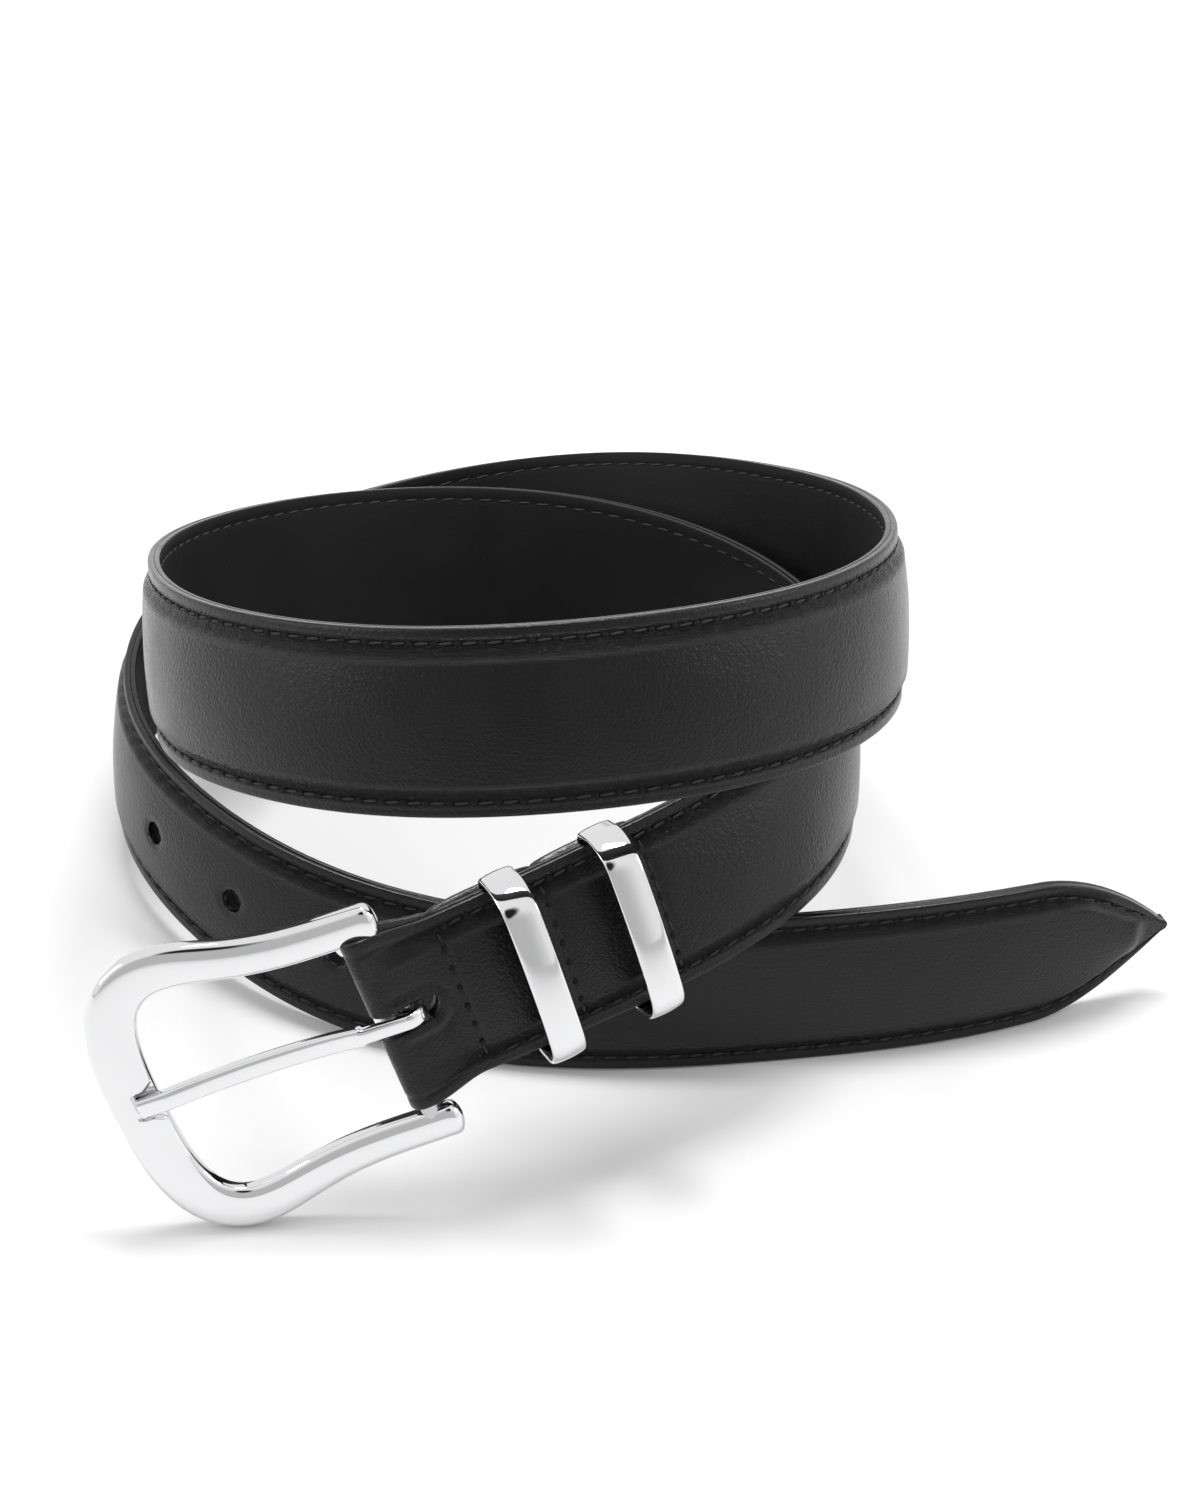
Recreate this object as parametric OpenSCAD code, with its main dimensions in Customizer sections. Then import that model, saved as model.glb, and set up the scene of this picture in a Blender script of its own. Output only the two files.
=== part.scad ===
// Dress belt with a padded, stitched strap, a horseshoe buckle and two metal keepers.
// The strap is coiled and stands on its edge, its buckle end stacked on its tail end.
// Millimetres; +X is right, +Y is back, +Z is up, and z = 0 is the surface that it stands on.

/* [Strap] */
// Width of the strap
strap_w = 35; // [34.5:0.1:35.4]
// Thickness of the outer leather
face_t = 1.3; // [1.1:0.1:1.3]
// Thickness of the lining leather
lining_t = 1.2; // [1:0.1:1.2]
// Rise of the padded middle above its margins
pad_rise = 1.5; // [1:0.1:1.5]
// Width of each flat margin
margin_w = 4; // [3.5:0.1:4.5]
// Length of the pointed tip
tip_taper = 30; // [24:1:36]

/* [Seams] */
// Distance from the strap's edge to the seam along it
seam_inset = 2.8; // [2.4:0.1:3.2]
// Width of the sewing thread
thread_w = 0.7; // [0.5:0.1:0.8]
// Thickness of the sewing thread
thread_t = 0.4; // [0.3:0.05:0.5]

/* [Size holes] */
// Diameter of each size hole
hole_d = 5; // [4.5:0.1:5]
// Spacing of the size holes
hole_pitch = 25.4; // [25:0.1:25.4]
// Length of strap from the fold to the first size hole
first_hole = 901; // [898:1:904]

/* [Buckle] */
// Diameter of the heel bar
bar_d = 3.5; // [3.3:0.1:3.5]
// Thickness of the buckle frame
frame_t = 4.2; // [3.8:0.1:4.4]
// Angle that the buckle leans back from the line of the strap
buckle_pitch = 17; // [15:1:18]
// Width of the prong
prong_w = 4.2; // [3.8:0.1:4.4]
// Thickness of the prong
prong_t = 2.6; // [2.2:0.1:2.8]

/* [Keepers] */
// Width of each keeper's band
keeper_w = 6.8; // [6:0.1:7]
// Thickness of each keeper's band
keeper_t = 1; // [0.8:0.05:1]
// Room inside a keeper from the lining to its front band
keeper_depth = 10.4; // [10:0.1:11]
// Radius of a keeper's outer corners in front
keeper_r = 4.5; // [3:0.5:5]

/* [Hidden] */
$fn = 48;

// The strap's middle line from the fold at the buckle to the tip, as the control points of a
// cubic B-spline: x, y, z, and the degrees that its upper edge leans out
route = [
    [-42, -50, 44, -16], [-4, -33, 50, -23], [33, -13, 56, -28], [55, 24, 49, -3],
    [47, 67, 41, 2], [19, 100, 35, 11], [-23, 115, 32, 33], [-63, 100, 40, 30],
    [-90, 67, 55, 11], [-91, 28, 73, -4], [-77, -8, 90, -14], [-42, -34, 103, -23],
    [1, -36, 107, -24], [41, -14, 98, -20], [61, 21, 85, -7], [58, 61, 68, 2],
    [40, 96, 50, 19], [7, 121, 38, 38], [-33, 131, 26, 27], [-75, 119, 21, 15],
    [-105, 86, 25, -7], [-105, 43, 25, -8], [-75, 7, 22, -11], [-41, -8, 16, -18],
    [0, -16, 18, -11], [39, -12, 17, -8], [79, -7, 18, -8], [117, 8, 17, 1]];
// Moves the whole belt so that it is centred on the Z axis and stands on z = 0
stand = [-4.95, -37.7, 0.1];

table_steps = 12;
pad_start = 12;
least_rise = 0.04;
bevel_w = 1.5;
edge_round = 0.3;
glue_gap = 0.1;
holes = 5;
// The buckle's weight pulls the end of the strap round by this angle
end_skew = 5;
skew_fade = 50;

// Seams across the strap, measured from the fold
slot_seam = 17.5;
middle_seam = 38.4;
tongue_seam = 59.4;
tongue_len = 62;
tongue_bulge = 2.4;
tongue_w = 34;

// Heel bar and the turn of leather round it
bar_s = 3.3;
bar_n = -lining_t / 2;
eye_gap = 0.1;
eye_r = bar_d / 2 + eye_gap + face_t / 2;
bar_half = 23.2;
bar_hole_half = 23.6;
slot_w = 5.1;
slot_eye = 5.6;
slot_end = 13;

// Buckle outline from the heel bar forwards: distance, half spacing, half width of the bar
buckle_drop = 1.8;
buckle_path = [
    [-5.5, 23.4, 3.6], [4, 23.4, 3.7], [14, 23.6, 3.8], [24, 25.2, 4], [33, 28, 4.3],
    [41, 28.4, 4.6], [47.5, 23.5, 4.8], [50.4, 14, 4.9], [50.8, 5, 4.9]];
notch_w = prong_w + 0.8;
notch_floor = 0.9;

// Prong centre line from the heel bar forwards: distance, height above the buckle's plane
prong_path = [[4.1, 2.9], [8, 2], [14, 1.2], [22, 0.8], [30, 0.8], [38, 1.3], [44, 2.1], [50, 2.5]];
prong_eye_r = 4.1;
neck = 0.75;
prong_eye_gap = 0.08;

keeper_gap = 0.5;
keeper_back_r = 2.4;
keeper_front_s = 31.5;
keeper_rear_s = 52.3;
keeper_side_gap = 1;

function unit(v) = v / norm(v);
function ease(x) = let (t = min(1, max(0, x))) t * t * (3 - 2 * t);

// Control point i of a list, carried on straight past both ends
function ctrl(p, i) =
    i < 0 ? 2 * p[0] - p[1] :
    i >= len(p) ? 2 * p[len(p) - 1] - p[len(p) - 2] : p[i];

// Point on the cubic B-spline of a list of control points
function spline(p, u) =
    let (k = min(floor(u), len(p) - 2), t = u - k, r = 1 - t)
    (r * r * r * ctrl(p, k - 1) + (3 * t * t * t - 6 * t * t + 4) * ctrl(p, k)
     + (1 + 3 * t + 3 * t * t - 3 * t * t * t) * ctrl(p, k + 1) + t * t * t * ctrl(p, k + 2)) / 6;

// Slope of the same B-spline
function spline_slope(p, u) =
    let (k = min(floor(u), len(p) - 2), t = u - k, r = 1 - t)
    (-r * r * ctrl(p, k - 1) + (3 * t * t - 4 * t) * ctrl(p, k)
     + (1 + 2 * t - 3 * t * t) * ctrl(p, k + 1) + t * t * ctrl(p, k + 2)) / 2;

function place3(v) = [v.x, v.y, v.z];

// Length along the strap against the spline's own parameter
table_end = (len(route) - 1) * table_steps;
table_pts = [for (i = [0:table_end]) place3(spline(route, i / table_steps))];
table_len = [for (i = 0, d = 0; i <= table_end;
                  d = d + (i < table_end ? norm(table_pts[i + 1] - table_pts[i]) : 0), i = i + 1) d];
to_u = [for (i = [0:table_end]) [table_len[i], i / table_steps]];
strap_len = table_len[table_end];

// Frame of the strap at a length from the fold: middle, along, across (up) and outwards
function frame(s) =
    let (u = lookup(s, to_u), c = spline(route, u), along = unit(place3(spline_slope(route, u))),
         side = unit(cross(along, [0, 0, 1])), up = cross(side, along),
         across = up * cos(c[3]) + side * sin(c[3]),
         skew = end_skew * (1 - ease(s / skew_fade)))
    [place3(c) + stand, along * cos(skew) + across * sin(skew),
     across * cos(skew) - along * sin(skew), cross(along, across)];

function place(f, a, w, n) = f[0] + a * f[1] + w * f[2] + n * f[3];

// Half width of the strap, which runs to a point at the tip
function half_w(s) =
    let (t = max(0, (s - strap_len + tip_taper) / tip_taper))
    max(1.2, strap_w / 2 * (1 - pow(t, 1.9)));

// Rise of the padding, which fades out to almost nothing at the buckle and at the tip
function rise(s) =
    max(least_rise, pad_rise * ease((s - pad_start) / 8) * ease((half_w(s) - margin_w - 1.5) / 3));
function pad_foot(h) = h > 2.5 * margin_w ? h - margin_w : 0.6 * h;
function pad_top(h) = h > 2.5 * margin_w ? pad_foot(h) - bevel_w : 0.45 * h;

// Section of the outer leather as [across, out], measured from its inner side at the margins
function face_section(h, r) =
    let (foot = pad_foot(h), top = pad_top(h),
         outer = [[h, face_t - edge_round], [h - edge_round, face_t], [foot, face_t],
                  [top, face_t + 0.8 * r], [0, face_t + 1.2 * r]],
         inner = [[0, 1.2 * r], [top, 0.8 * r], [foot, 0], [h, 0]])
    concat(outer, [for (i = [3:-1:0]) [-outer[i].x, outer[i].y]],
           [for (i = [3:-1:1]) [-inner[i].x, inner[i].y]], inner);

function core_section(h, r) =
    let (foot = pad_foot(h) - 0.5, top = pad_top(h) - 0.3, low = glue_gap,
         outer = [[foot, low + 0.05], [top, max(low + 0.1, 0.8 * r - glue_gap)],
                  [0, max(low + 0.2, 1.2 * r - glue_gap)]])
    concat([for (i = [0:1]) [-outer[i].x, outer[i].y]], [outer[2], outer[1], outer[0]],
           [[foot, low], [top, low], [0, low], [-top, low], [-foot, low]]);

function lining_section(h) =
    let (foot = pad_foot(h), top = pad_top(h), across = [-foot, -top, 0, top, foot])
    concat([[-h, -glue_gap]], [for (x = across) [x, -glue_gap]], [[h, -glue_gap]],
           [[h, edge_round - lining_t], [h - edge_round, -lining_t]],
           [for (i = [4:-1:0]) [across[i], -lining_t]],
           [[edge_round - h, -lining_t], [-h, edge_round - lining_t]]);

// Stations for the rings from a length to the tip: close together under the buckle's tongue,
// even along the strap and closer again in the tip
close_step = 4;
close_end = 68;
even_step = 9.5;
function stations(from) =
    let (body_end = strap_len - tip_taper, n = ceil((body_end - close_end) / even_step))
    concat([for (s = [from:close_step:close_end - 1]) s],
           [for (i = [0:n]) close_end + (body_end - close_end) * i / n],
           [for (t = [0.25, 0.45, 0.6, 0.75, 0.86, 0.94, 1]) body_end + tip_taper * t]);

// Closed solid through rings that all have the same number of points
module skin(rings) {
    n = len(rings);
    m = len(rings[0]);
    sides = [for (i = [0:n - 2], j = [0:m - 1]) let (k = (j + 1) % m)
        each [[i * m + j, i * m + k, (i + 1) * m + k], [i * m + j, (i + 1) * m + k, (i + 1) * m + j]]];
    caps = [[for (j = [m - 1:-1:0]) j], [for (j = [0:m - 1]) (n - 1) * m + j]];
    polyhedron([for (ring = rings) each ring], concat(sides, caps), convexity = 10);
}

// Puts a shape into a frame: its X along the strap, Y across it and Z outwards
module on(f, n = 0) {
    o = place(f, 0, 0, n);
    multmatrix([[f[1].x, f[2].x, f[3].x, o.x], [f[1].y, f[2].y, f[3].y, o.y],
                [f[1].z, f[2].z, f[3].z, o.z], [0, 0, 0, 1]])
        children();
}

function ring_at(s, section, lift = 0) =
    let (f = frame(s)) [for (q = section) place(f, 0, q.x, q.y + lift)];

// Lift of the front leaf's inner side as it opens towards the heel bar
function front_lift(s) = (bar_n + eye_r - face_t / 2) * (1 - ease((s - bar_s) / 13));

// Depth of the tongue's inner side behind the strap's middle line
function tongue_depth(s) =
    s < slot_seam ? lining_t + (eye_r - face_t / 2 - bar_n - lining_t) * (1 - ease((s - bar_s) / 13)) :
    s < middle_seam ? lining_t + tongue_bulge * arch((s - slot_seam) / (middle_seam - slot_seam)) :
    s < tongue_seam ? lining_t + tongue_bulge * arch((s - middle_seam) / (tongue_seam - middle_seam)) :
    lining_t;
function arch(x) = pow(max(0, sin(180 * x)), 0.4);

// Ring of the tongue: the outer leather turned over, its grain away from the lining
function tongue_ring(s) =
    let (f = frame(s), h = s > slot_seam ? tongue_w / 2 : strap_w / 2, d = tongue_depth(s))
    [for (q = face_section(h, 0)) place(f, 0, q.x, -d - q.y)];

// Ring of the turn at an angle from the front leaf round the heel bar
function turn_ring(angle) =
    let (f = frame(bar_s), out = f[3] * cos(angle) - f[1] * sin(angle),
         c = place(f, 0, 0, bar_n) + (eye_r - face_t / 2) * out)
    [for (q = face_section(strap_w / 2, 0)) c + q.x * f[2] + q.y * out];

module size_holes() {
    for (i = [0:holes - 1])
        on(frame(first_hole + i * hole_pitch))
            rotate(45)
                cylinder(d = hole_d, h = 12, center = true);
}

module strap_face() {
    tip_to_seam = stations(20);
    count = len(tip_to_seam);
    leaf = [16, 13, 10, 7, 5];
    front = concat(
        [for (i = [count - 1:-1:0]) let (s = tip_to_seam[i])
            ring_at(s, face_section(half_w(s), rise(s)))],
        [for (s = leaf) ring_at(s, face_section(strap_w / 2, rise(s)), front_lift(s))]);
    turn = [for (angle = [0:20:180]) turn_ring(angle)];
    arch_at = [0, 0.03, 0.1, 0.25, 0.5, 0.75, 0.9, 0.97];
    tongue = [for (s = concat(
        [5, 7, 10, 13, 16],
        [for (x = arch_at) slot_seam + 0.01 + x * (middle_seam - slot_seam)],
        [for (x = arch_at) middle_seam + 0.01 + x * (tongue_seam - middle_seam)],
        [tongue_seam + 0.01, tongue_len])) tongue_ring(s)];
    color("#141414")
        difference() {
            skin(concat(front, turn, tongue));
            size_holes();
            on(frame(bar_s)) {
                translate([slot_end - bar_s - slot_eye / 2, 0, 0])
                    rotate(25)
                        cylinder(d = slot_eye, h = 14, center = true);
                translate([-8, -slot_w / 2, -7])
                    cube([slot_end - bar_s - slot_eye / 2 + 8, slot_w, 14]);
            }
        }
}

module strap_filler() {
    color("#3a3632")
        difference() {
            skin([for (s = stations(20)) if (half_w(s) > 8)
                ring_at(s, core_section(half_w(s), rise(s)))]);
            size_holes();
        }
}

module strap_lining() {
    color("#1c1a19")
        difference() {
            skin([for (s = stations(16)) ring_at(s, lining_section(half_w(s)))]);
            size_holes();
        }
}

// Thread laid along both margins from a length and round the tip, on the side that is 1 or -1
module edge_thread(from, side, level) {
    run = stations(from);
    last = len(run) - 3;
    half = thread_w / 2;
    low = level - 0.28;
    high = low + thread_t;
    function edge_ring(s, way) =
        let (f = frame(s), w = way * max(1.5, half_w(s) - seam_inset))
        [place(f, 0, w + way * half, side * low), place(f, 0, w + way * half, side * high),
         place(f, 0, w - way * half, side * high), place(f, 0, w - way * half, side * low)];
    tip = frame(run[last] + 2.5);
    tip_ring = [place(tip, half, 0, side * low), place(tip, half, 0, side * high),
                place(tip, -half, 0, side * high), place(tip, -half, 0, side * low)];
    rings = concat([for (i = [0:last]) edge_ring(run[i], 1)], [tip_ring],
                   [for (i = [last:-1:0]) edge_ring(run[i], -1)]);
    if (side > 0) skin([for (r = rings) [r[3], r[2], r[1], r[0]]]);
    else skin(rings);
}

module edge_thread_face() { color("#101010") edge_thread(slot_seam + 1, 1, face_t); }
module edge_thread_back() { color("#6a6a6a") edge_thread(tongue_len + 1, -1, lining_t); }

// Closed loop of thread across the strap: over the face, through at both ends, and back
module cross_thread(s, back_n) {
    f = frame(s);
    half = thread_w / 2;
    r = rise(s);
    reach = strap_w / 2 - seam_inset;
    foot = pad_foot(strap_w / 2);
    top = pad_top(strap_w / 2);
    path = [[reach, face_t], [foot, face_t], [top, face_t + 0.8 * r], [0, face_t + 1.2 * r],
            [-top, face_t + 0.8 * r], [-foot, face_t], [-reach, face_t]];
    color("#101010")
        union() {
            skin([for (q = path)
                [place(f, -half, q.x, q.y - 0.28), place(f, -half, q.x, q.y + 0.12),
                 place(f, half, q.x, q.y + 0.12), place(f, half, q.x, q.y - 0.28)]]);
            on(f) {
                for (way = [-1, 1])
                    translate([-half, way * reach - half, back_n - 0.1])
                        cube([thread_w, thread_w, face_t - back_n]);
                translate([-half, -reach, back_n - 0.12])
                    cube([thread_w, 2 * reach, thread_t]);
            }
        }
}

module cross_thread_slot() { cross_thread(slot_seam, -lining_t - face_t); }
module cross_thread_middle() { cross_thread(middle_seam, -lining_t - face_t); }
module cross_thread_tongue() { cross_thread(tongue_seam, -lining_t - face_t); }

// Buckle frame of reference: X forwards from the heel bar, Y across (down), Z out of its face
function buckle_axes() =
    let (f = frame(bar_s), p = -buckle_pitch)
    [place(f, 0, 0, bar_n), -f[1] * cos(p) + f[3] * sin(p), -f[2], f[3] * cos(p) + f[1] * sin(p)];

module in_buckle() {
    b = buckle_axes();
    multmatrix([[b[1].x, b[2].x, b[3].x, b[0].x], [b[1].y, b[2].y, b[3].y, b[0].y],
                [b[1].z, b[2].z, b[3].z, b[0].z], [0, 0, 0, 1]])
        children();
}

// Centre line of the frame from the upper arm's end, round the front, to the lower arm's end
frame_loop = concat(buckle_path, [for (i = [len(buckle_path) - 1:-1:0])
    [buckle_path[i][0], -buckle_path[i][1], buckle_path[i][2]]]);

// Domed section of the frame: flat behind, crowned in front, as fractions of its half sizes
frame_section = [[1, -0.35], [1, 0.1], [0.86, 0.55], [0.5, 0.9], [0, 1], [-0.5, 0.9],
                 [-0.86, 0.55], [-1, 0.1], [-1, -0.35], [-0.8, -0.85], [0, -1], [0.8, -0.85]];

function frame_ring(u, scale) =
    let (c = spline(frame_loop, u), d = spline_slope(frame_loop, u), t = unit([d.x, d.y]))
    [for (q = frame_section)
        [c.x + t.y * q.x * c[2] * scale, c.y - t.x * q.x * c[2] * scale, q.y * frame_t / 2 * scale]];

module buckle_frame() {
    last = len(frame_loop) - 1;
    rings = concat([frame_ring(0, 0.6), frame_ring(0.08, 0.9)],
                   [for (i = [1:52]) frame_ring(0.2 + (last - 0.4) * (i - 1) / 51, 1)],
                   [frame_ring(last - 0.08, 0.9), frame_ring(last, 0.6)]);
    color("#d9dbde")
        in_buckle()
            translate([0, buckle_drop, 0])
                difference() {
                    skin(rings);
                    rotate([90, 0, 0])
                        cylinder(d = bar_d, h = 2 * bar_hole_half, center = true);
                    translate([44, -buckle_drop - notch_w / 2, notch_floor])
                        cube([7.5, notch_w, 4]);
                }
}

module heel_bar() {
    color("#b8babd")
        in_buckle()
            translate([0, buckle_drop, 0])
                rotate([90, 0, 0])
                    cylinder(d = bar_d, h = 2 * bar_half, center = true);
}

// Side outline of the prong: its curl round the heel bar, and a strip of even thickness
module prong_side() {
    last = len(prong_path) - 1;
    steps = 22;
    line = [for (i = [0:steps]) spline(prong_path, last * i / steps)];
    slope = [for (i = [0:steps]) unit(spline_slope(prong_path, last * i / steps))];
    half = [for (i = [0:steps]) prong_t / 2 * (i < 2 ? neck : 1)];
    polygon(concat(
        [for (angle = [80:14:388]) prong_eye_r * [cos(angle), sin(angle)]],
        [for (i = [0:steps]) line[i] - half[i] * [-slope[i].y, slope[i].x]],
        [for (i = [steps:-1:0]) line[i] + half[i] * [-slope[i].y, slope[i].x]]));
}

module prong() {
    color("#d9dbde")
        in_buckle()
            translate([0, prong_w / 2, 0])
                rotate([90, 0, 0])
                    difference() {
                        linear_extrude(prong_w) prong_side();
                        translate([0, 0, -1]) cylinder(r = bar_d / 2 + prong_eye_gap, h = prong_w + 2);
                    }
}

// Rounded metal loop round the strap, its back band between the lining and the tongue
module keeper(s) {
    height = strap_w + 2 * (keeper_side_gap + keeper_t);
    depth = keeper_depth + 2 * keeper_t;
    color("#d9dbde")
        on(frame(s), -lining_t - keeper_gap - keeper_t)
            rotate([90, 0, 90])
                linear_extrude(keeper_w, center = true)
                    difference() {
                        loop_outline(height, depth, keeper_r, keeper_back_r);
                        translate([0, keeper_t])
                            loop_outline(height - 2 * keeper_t, keeper_depth, keeper_r - keeper_t,
                                         keeper_back_r - keeper_t);
                    }
}

// Rectangle standing on its back side, its front corners and its back corners rounded
module loop_outline(w, d, r, back_r) {
    union() {
        translate([-w / 2 + r, back_r]) square([w - 2 * r, d - back_r]);
        translate([-w / 2 + back_r, 0]) square([w - 2 * back_r, back_r]);
        translate([-w / 2, back_r]) square([w, d - r - back_r]);
        for (x = [-1, 1]) {
            translate([x * (w / 2 - r), d - r]) circle(r = r);
            translate([x * (w / 2 - back_r), back_r]) circle(r = back_r);
        }
    }
}

module keeper_front() { keeper(keeper_front_s); }
module keeper_rear() { keeper(keeper_rear_s); }

strap_face();
strap_filler();
strap_lining();
edge_thread_face();
edge_thread_back();
cross_thread_slot();
cross_thread_middle();
cross_thread_tongue();
buckle_frame();
heel_bar();
prong();
keeper_front();
keeper_rear();
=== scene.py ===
"""A stitched, padded dress belt, coiled and stood on its edge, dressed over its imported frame."""

import logging
import math
from dataclasses import dataclass, field
from enum import Enum
from typing import Callable

import bmesh
import bpy
from mathutils import Euler, Matrix, Vector, noise


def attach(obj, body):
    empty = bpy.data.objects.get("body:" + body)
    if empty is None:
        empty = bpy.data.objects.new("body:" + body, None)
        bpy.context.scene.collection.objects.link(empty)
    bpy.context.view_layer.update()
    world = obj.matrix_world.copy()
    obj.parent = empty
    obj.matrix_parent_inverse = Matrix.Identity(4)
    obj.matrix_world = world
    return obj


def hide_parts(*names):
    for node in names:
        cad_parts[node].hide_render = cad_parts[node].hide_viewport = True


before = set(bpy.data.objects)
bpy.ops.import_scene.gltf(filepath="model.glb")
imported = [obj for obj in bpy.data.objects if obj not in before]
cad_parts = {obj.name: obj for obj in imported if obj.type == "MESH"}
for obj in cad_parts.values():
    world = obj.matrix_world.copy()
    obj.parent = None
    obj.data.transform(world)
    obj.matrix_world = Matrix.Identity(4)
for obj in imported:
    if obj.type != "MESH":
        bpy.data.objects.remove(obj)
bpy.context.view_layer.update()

log = logging.getLogger("belt")
MM = 0.001
# Points nearer than this, in metres, are merged
WELD = 1e-7


class Body(Enum):
    """The rigid bodies that the pieces ride on."""

    STRAP = "strap"
    BUCKLE = "buckle"
    PRONG = "prong"
    KEEPER_FRONT = "keeper_front"
    KEEPER_REAR = "keeper_rear"


class Slot(Enum):
    """Names of the material slots, passed with each piece."""

    FACE = "face_leather"
    CORE = "core"
    LINING = "lining_leather"
    THREAD = "face_thread"
    BOBBIN = "back_thread"
    PLATED = "plated_metal"
    STEEL = "bar_steel"


def ease(x: float) -> float:
    """Smooth step from 0 at 0 to 1 at 1."""
    t = min(1.0, max(0.0, x))
    return t * t * (3 - 2 * t)


def bump_at(x: float, centre: float, width: float) -> float:
    """Bell curve of height 1 at the centre."""
    return math.exp(-(((x - centre) / width) ** 2))


def squared(wave: float, power: float) -> float:
    """Raises a sine or cosine to a power and keeps its sign, which squares a round section."""
    return math.copysign(abs(wave) ** power, wave)


def b_spline(a: Vector, b: Vector, c: Vector, d: Vector, t: float) -> tuple[Vector, Vector]:
    """Works out one span of a cubic B-spline.

    Args:
        a, b, c, d: the span's control points in order.
        t: how far along the span, from 0 to 1.

    Returns:
        The point and the slope there.
    """
    r = 1 - t
    here = (a * r**3 + b * (3 * t**3 - 6 * t * t + 4)
            + c * (1 + 3 * t + 3 * t * t - 3 * t**3) + d * t**3) / 6
    slope = (a * (-r * r) + b * (3 * t * t - 4 * t) + c * (1 + 2 * t - 3 * t * t) + d * t * t) / 2
    return here, slope


# ---------------------------------------------------------------- finishes


class NodeTree:
    """Small helper that adds and joins the nodes of one material."""

    def __init__(self, name: str) -> None:
        """Starts a node material with that name."""
        self.material = bpy.data.materials.new(name)
        self.material.use_nodes = True
        self.tree = self.material.node_tree
        self.shader = self.tree.nodes["Principled BSDF"]

    def add(self, kind: str, **settings: object) -> bpy.types.Node:
        """Adds a node.

        Args:
            kind: the node's type.
            settings: its properties by name.

        Returns:
            The new node.
        """
        node = self.tree.nodes.new(kind)
        for key, value in settings.items():
            setattr(node, key, value)
        return node

    def join(self, out: bpy.types.NodeSocket, into: bpy.types.NodeSocket) -> None:
        """Links one socket to another."""
        self.tree.links.new(out, into)

    def texture(self, kind: str, coords: bpy.types.NodeSocket, **inputs: float) -> bpy.types.Node:
        """Adds a texture that reads the given coordinates.

        Args:
            kind: the texture node's type.
            coords: the socket with the coordinates.
            inputs: the texture's input values by name.

        Returns:
            The texture node.
        """
        node = self.add(kind)
        for key, value in inputs.items():
            node.inputs[key.replace("_", " ")].default_value = value
        self.join(coords, node.inputs["Vector"])
        return node

    def ramp(self, value: bpy.types.NodeSocket, low: float, high: float,
             to_low: float, to_high: float) -> bpy.types.NodeSocket:
        """Maps a range of values smoothly onto another.

        Args:
            value: the socket to map.
            low, high: the range that is read.
            to_low, to_high: the range that is given.

        Returns:
            The mapped socket.
        """
        node = self.add("ShaderNodeMapRange", interpolation_type="SMOOTHSTEP")
        for name, number in (("From Min", low), ("From Max", high),
                             ("To Min", to_low), ("To Max", to_high)):
            node.inputs[name].default_value = number
        self.join(value, node.inputs["Value"])
        return node.outputs["Result"]

    def maths(self, operation: str, a: bpy.types.NodeSocket | float,
              b: bpy.types.NodeSocket | float = 0.0) -> bpy.types.NodeSocket:
        """Combines two sockets or numbers.

        Args:
            operation: the Math node's operation.
            a, b: sockets or numbers.

        Returns:
            The result's socket.
        """
        node = self.add("ShaderNodeMath", operation=operation)
        for place, value in enumerate((a, b)):
            if isinstance(value, (int, float)):
                node.inputs[place].default_value = value
            else:
                self.join(value, node.inputs[place])
        return node.outputs[0]

    def bump(self, height: bpy.types.NodeSocket, depth_mm: float,
             under: bpy.types.NodeSocket | None = None) -> bpy.types.NodeSocket:
        """Turns a height from 0 to 1 into a surface normal.

        Args:
            height: the height's socket.
            depth_mm: the relief in millimetres at height 1.
            under: a normal that this one is laid over.

        Returns:
            The normal's socket.
        """
        node = self.add("ShaderNodeBump")
        node.inputs["Distance"].default_value = depth_mm * MM
        self.join(height, node.inputs["Height"])
        if under is not None:
            self.join(under, node.inputs["Normal"])
        return node.outputs["Normal"]


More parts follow.
